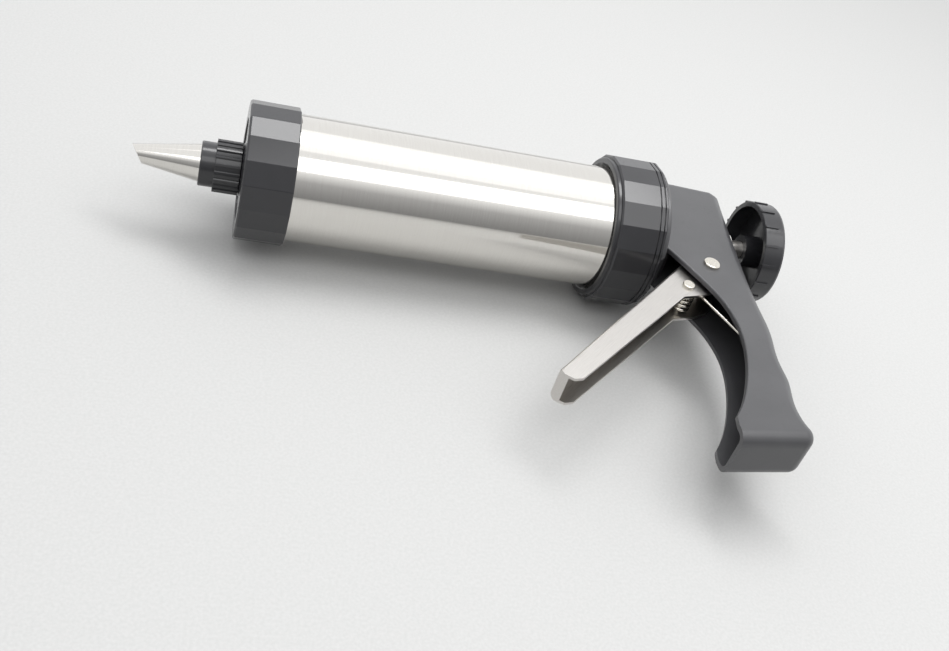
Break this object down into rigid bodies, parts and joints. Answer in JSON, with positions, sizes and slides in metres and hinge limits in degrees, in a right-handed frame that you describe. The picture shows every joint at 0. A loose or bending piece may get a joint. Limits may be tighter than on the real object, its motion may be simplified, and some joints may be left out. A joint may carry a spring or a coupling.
{
  "type": "cookie press",
  "caption": "Trigger-operated cookie press: steel barrel, faceted screw rings, ratchet plunger with pull knob, hollow pistol grip and a long filling nozzle.",
  "frame": {"origin": "on the barrel axis, in the front face of the front ring", "axes": "+X along the barrel from the nozzle to the knob, +Z the sideways axis of the press (up as it lies on its side), -Y towards the foot of the grip"},
  "size_m": [0.2877, 0.1702, 0.0664],
  "materials": {
    "black_plastic": "satin moulded",
    "black_gloss": "semi-gloss moulded",
    "polished_steel": "mirror polished",
    "brushed_steel": "satin brushed",
    "bright_steel": "nickel plated",
    "white_plastic": "moulded acetal",
    "silicone": "soft silicone",
    "pawl_steel": "hardened and blackened"
  },
  "bodies": {
    "grip": {"handle": "black_plastic", "front_rod_guide": "white_plastic", "rear_rod_guide": "white_plastic", "trigger_rivet": "bright_steel", "rivet_washers": "white_plastic"},
    "barrel": {"barrel": "polished_steel"},
    "rear_ring": {"rear_ring": "black_gloss"},
    "adapter": {"nozzle_adapter": "black_gloss", "adapter_gasket": "silicone"},
    "front_ring": {"front_ring": "black_gloss"},
    "nozzle": {"nozzle": "polished_steel"},
    "nozzle_ring": {"nozzle_ring": "black_gloss"},
    "piston": {"piston": "white_plastic", "piston_seal": "silicone", "piston_washer": "bright_steel", "piston_nut": "bright_steel"},
    "plunger": {"plunger_rod": "brushed_steel", "knob": "black_gloss", "knob_screw": "bright_steel"},
    "trigger": {"trigger": "brushed_steel", "spring_pin": "bright_steel", "pawl_pin": "bright_steel", "return_spring": "bright_steel", "pawl_spring": "bright_steel"},
    "pawl": {"drive_pawl": "pawl_steel"}
  },
  "joints": [
    {"name": "trigger_squeeze", "type": "hinge", "parent": "grip", "child": "trigger", "pos_m": [0.2036, -0.031, 0], "axis": [0, 0, 1], "range_deg": [0, 28], "stiffness_Nm_per_rad": 0.35, "springref_deg": -20.05, "deforming": ["return_spring"]},
    {"name": "pawl_tilt", "type": "hinge", "parent": "trigger", "child": "pawl", "pos_m": [0.208, -0.0146, 0], "axis": [0, 0, 1], "range_deg": [-28, 0], "deforming": ["pawl_spring"]},
    {"name": "plunger_pull", "type": "slide", "parent": "grip", "child": "piston", "axis": [1, 0, 0], "range_m": [-0.0065, 0.136]},
    {"name": "plunger_turn", "type": "hinge", "parent": "piston", "child": "plunger", "pos_m": [0.1, 0, 0], "axis": [1, 0, 0], "continuous": true},
    {"name": "barrel_draw", "type": "slide", "parent": "grip", "child": "barrel", "axis": [-1, 0, 0], "range_m": [0, 0.006]},
    {"name": "rear_ring_turn", "type": "hinge", "parent": "barrel", "child": "rear_ring", "pos_m": [0.167, 0, 0], "axis": [1, 0, 0], "range_deg": [0, 720]},
    {"name": "adapter_draw", "type": "slide", "parent": "barrel", "child": "adapter", "axis": [-1, 0, 0], "range_m": [0, 0.006]},
    {"name": "front_ring_turn", "type": "hinge", "parent": "adapter", "child": "front_ring", "pos_m": [0.01, 0, 0], "axis": [1, 0, 0], "range_deg": [0, 720]},
    {"name": "nozzle_draw", "type": "slide", "parent": "adapter", "child": "nozzle", "axis": [-1, 0, 0], "range_m": [0, 0.006]},
    {"name": "nozzle_ring_turn", "type": "hinge", "parent": "nozzle", "child": "nozzle_ring", "pos_m": [-0.01, 0, 0], "axis": [1, 0, 0], "range_deg": [0, 720]}
  ],
  "couplings": [
    {"joint": "pawl_tilt", "follows": "trigger_squeeze", "ratio": -1},
    {"joint": "rear_ring_turn", "follows": "barrel_draw", "rad_per_m": 2094.4},
    {"joint": "front_ring_turn", "follows": "adapter_draw", "rad_per_m": 2094.4},
    {"joint": "nozzle_ring_turn", "follows": "nozzle_draw", "rad_per_m": 2094.4}
  ]
}
